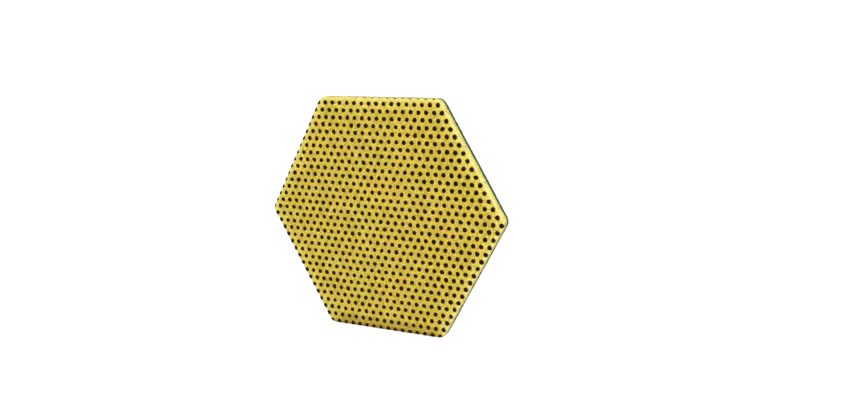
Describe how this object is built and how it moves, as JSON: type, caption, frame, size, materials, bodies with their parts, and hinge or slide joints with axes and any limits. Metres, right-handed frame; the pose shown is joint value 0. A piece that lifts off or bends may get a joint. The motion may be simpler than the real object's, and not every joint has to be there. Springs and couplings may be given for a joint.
{
  "type": "scouring pad",
  "caption": "Hexagonal two-sided scouring pad: a coarse non-woven nylon web under a thinner scrubbing cloth printed with staggered hard dots.",
  "frame": {"origin": "centre of the scouring face, which is the underside as the pad lies with its dotted face up", "axes": "+Z out of the dotted face, +X towards one of the hexagon's corners, +Y square to one of its flat sides"},
  "size_m": [0.1446, 0.128, 0.0075],
  "materials": {
    "scouring_web": "open dark green nylon fibre web, coarse and matte",
    "scrubbing_cloth": "mottled yellow needled felt, matte",
    "printed_dots": "dark brown resin dots with a slight sheen"
  },
  "bodies": {
    "root": {"scouring_web": "scouring_web", "scrubbing_cloth": "scrubbing_cloth"}
  },
  "joints": []
}
